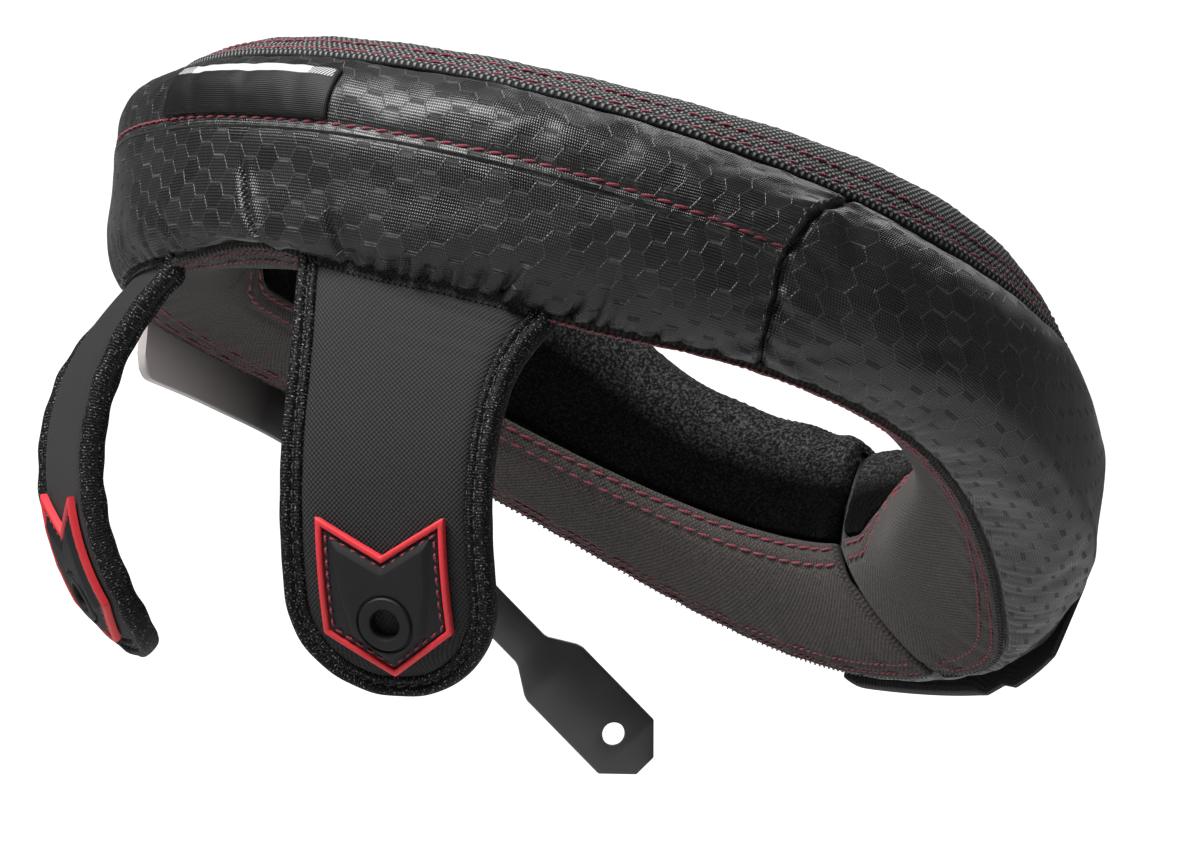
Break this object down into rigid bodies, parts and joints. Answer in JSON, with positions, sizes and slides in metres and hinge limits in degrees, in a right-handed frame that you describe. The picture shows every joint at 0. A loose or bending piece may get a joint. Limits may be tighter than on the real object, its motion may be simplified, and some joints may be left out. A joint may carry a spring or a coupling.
{
  "type": "protective neck collar",
  "caption": "Padded black neck collar with red stitching, a front opening, hanging rear tabs with rubber shields and a plastic mounting strap.",
  "frame": {"origin": "middle of the neck opening, where the collar sits round the wearer's neck", "axes": "+Z is the wearer's up, +Y is forward to the opening, +X is the wearer's right"},
  "size_m": [0.2694, 0.2785, 0.1996],
  "materials": {
    "nylon": "woven hexagon pattern with a sheen",
    "ballistic": "coarse matte weave",
    "fleece": "short matte pile",
    "neoprene": "matte, stitched",
    "binding": "ribbed tape",
    "canvas": "fine matte weave",
    "webbing": "woven tape",
    "label": "satin, blank",
    "rubber": "matte moulded",
    "red_rubber": "satin moulded",
    "plastic": "satin"
  },
  "bodies": {
    "root": {"pad_back": "nylon", "pad_left_arm": "nylon", "pad_right_arm": "nylon", "top_cover": "ballistic", "underside_panel": "neoprene", "neck_lining_left": "fleece", "neck_lining_right": "fleece", "back_label": "label", "closure_strap": "webbing", "tab_right_pad": "canvas", "tab_right_binding": "binding", "shield_right": "rubber", "shield_right_rim": "red_rubber", "tab_left_pad": "canvas", "tab_left_binding": "binding", "shield_left": "rubber", "shield_left_rim": "red_rubber", "mounting_strap": "plastic"}
  },
  "joints": []
}
